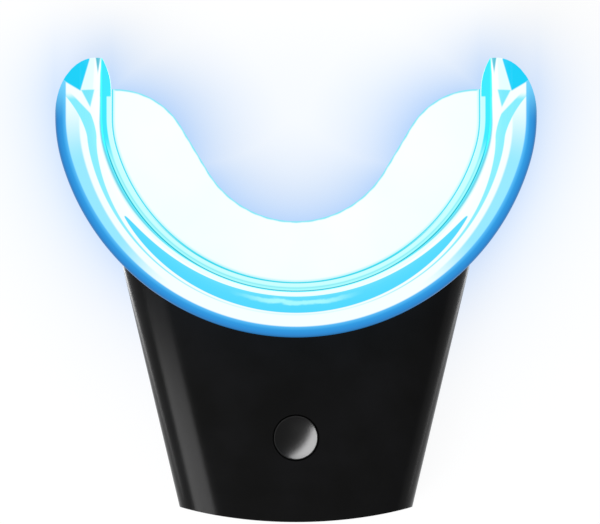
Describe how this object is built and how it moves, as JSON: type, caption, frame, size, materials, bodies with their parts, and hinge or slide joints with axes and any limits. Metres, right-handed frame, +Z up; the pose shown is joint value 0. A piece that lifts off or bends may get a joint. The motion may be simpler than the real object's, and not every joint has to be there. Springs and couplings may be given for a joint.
{
  "type": "teeth whitening lamp",
  "caption": "Cordless mouth lamp: lit flanged U-shaped silicone tray with a frosted bite plate on a tapered gloss black housing with a dished push button and a charging socket.",
  "frame": {"origin": "centre of the footprint on the surface the lamp rests on", "axes": "+X across the mouth, +Y towards the molars, -Y towards the nose of the housing, +Z up towards the upper teeth and the button"},
  "size_m": [0.065, 0.0628, 0.023],
  "materials": {
    "clear_silicone": "clear glossy silicone, lit cyan and blue from inside",
    "frosted_silicone": "frosted white silicone, evenly lit",
    "clear_lens": "clear moulded window",
    "grey_silicone": "soft grey seal",
    "white_plastic": "white moulded",
    "circuit_board": "green solder mask",
    "black_gloss": "polished piano black",
    "black_button": "satin black, dished",
    "black_plastic": "black moulded",
    "coil_ferrite": "dark ferrite",
    "ceramic_tan": "tan ceramic chips",
    "ribbon_film": "amber film ribbon",
    "battery_foil": "silver pouch foil",
    "dark_foam": "closed-cell foam",
    "lead_red": "insulated wire",
    "steel": "plain steel",
    "gold_contacts": "gold-plated",
    "led_package": "white package with a clear blue-lit centre"
  },
  "bodies": {
    "housing": {"mouth_tray": "clear_silicone", "bite_plate": "frosted_silicone", "light_window": "clear_lens", "collar_seal": "grey_silicone", "led_reflector": "white_plastic", "led_board": "circuit_board", "main_board": "circuit_board", "top_shell": "black_gloss", "bottom_shell": "black_gloss", "tact_switch": "black_plastic", "controller_chip": "black_plastic", "charger_chip": "black_plastic", "driver_coil": "coil_ferrite", "capacitors": "ceramic_tan", "resistors": "black_plastic", "ribbon_connector": "white_plastic", "ribbon_cable": "ribbon_film", "battery_cell": "battery_foil", "battery_foam": "dark_foam", "battery_leads": "lead_red", "board_screws": "steel", "port_shell": "steel", "port_tongue": "black_plastic", "port_contacts": "gold_contacts", "port_gasket": "grey_silicone", "led_01": "led_package", "led_02": "led_package", "led_03": "led_package", "led_04": "led_package", "led_05": "led_package", "led_06": "led_package", "led_07": "led_package", "led_08": "led_package", "led_09": "led_package", "led_10": "led_package", "led_11": "led_package", "led_12": "led_package", "led_13": "led_package", "led_14": "led_package", "led_15": "led_package", "led_16": "led_package"},
    "button": {"button_cap": "black_button"},
    "plunger": {"switch_plunger": "black_plastic"}
  },
  "joints": [
    {"name": "button_press", "type": "slide", "parent": "housing", "child": "button", "axis": [0, 0, -1], "range_m": [0, 0.0004], "stiffness_N_per_m": 900, "springref_m": -0.0002},
    {"name": "switch_press", "type": "slide", "parent": "housing", "child": "plunger", "axis": [0, 0, -1], "range_m": [0, 0.0004]}
  ],
  "couplings": [
    {"joint": "switch_press", "follows": "button_press", "ratio": 1}
  ]
}
